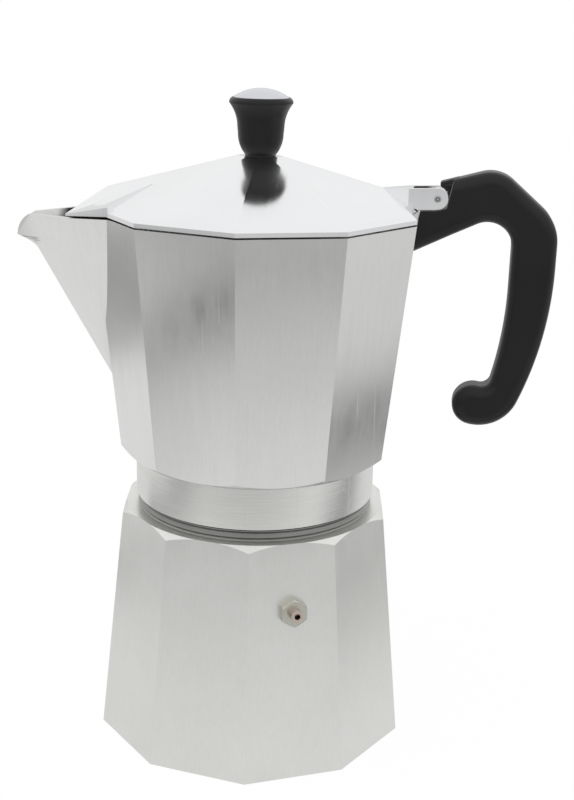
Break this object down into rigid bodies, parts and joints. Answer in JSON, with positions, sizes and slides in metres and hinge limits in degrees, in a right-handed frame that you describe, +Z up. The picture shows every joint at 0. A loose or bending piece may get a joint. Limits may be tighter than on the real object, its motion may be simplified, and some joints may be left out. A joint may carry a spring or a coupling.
{
  "type": "moka pot",
  "caption": "Faceted stove-top coffee pot: threaded boiler with safety valve, funnel basket, collector jug with spout, hinged lid with knob, moulded handle.",
  "frame": {"origin": "centre of the boiler's flat base", "axes": "+Z up, +X towards the handle, -X towards the spout"},
  "size_m": [0.196, 0.1194, 0.2409],
  "materials": {
    "cast_aluminium": "satin",
    "polished_aluminium": "polished",
    "sheet_aluminium": "brushed",
    "brass": "nickel-plated, worn",
    "steel": "plain",
    "chrome": "bright",
    "black_plastic": "satin moulded",
    "rubber": "matt"
  },
  "bodies": {
    "boiler": {"boiler": "cast_aluminium", "valve_body": "brass", "valve_bush": "brass", "valve_spring": "steel"},
    "valve_ball": {"valve_ball": "steel"},
    "funnel": {"funnel": "sheet_aluminium", "basket_sieve": "sheet_aluminium"},
    "gasket": {"gasket": "rubber"},
    "filter_plate": {"filter_plate": "sheet_aluminium"},
    "collector": {"collector": "polished_aluminium", "coffee_column": "cast_aluminium", "hinge_pin": "steel", "handle": "black_plastic", "handle_screw": "steel"},
    "lid": {"lid": "polished_aluminium", "knob": "black_plastic", "knob_cap": "chrome", "knob_screw": "steel", "knob_washer": "steel"}
  },
  "joints": [
    {"name": "valve_lift", "type": "slide", "parent": "boiler", "child": "valve_ball", "axis": [0.3959, -0.9131, 0.0975], "range_m": [0, 0.0006], "stiffness_N_per_m": 2000, "springref_m": -0.0005, "deforming": ["valve_spring"]},
    {"name": "funnel_lift", "type": "slide", "parent": "boiler", "child": "funnel", "axis": [0, 0, 1], "range_m": [0, 0.1]},
    {"name": "collector_lift", "type": "slide", "parent": "funnel", "child": "gasket", "axis": [0, 0, 1], "range_m": [0, 0.04]},
    {"name": "collector_rise", "type": "slide", "parent": "gasket", "child": "filter_plate", "axis": [0, 0, 1], "range_m": [0, 0.0061]},
    {"name": "collector_twist", "type": "hinge", "parent": "filter_plate", "child": "collector", "pos_m": [0, 0, 0.1], "axis": [0, 0, 1], "range_deg": [0, 504]},
    {"name": "lid_hinge", "type": "hinge", "parent": "collector", "child": "lid", "pos_m": [0.0634, 0, 0.2051], "axis": [0, 1, 0], "range_deg": [0, 100]}
  ],
  "couplings": [
    {"joint": "collector_rise", "follows": "collector_twist", "m_per_rad": 0.00063662}
  ]
}
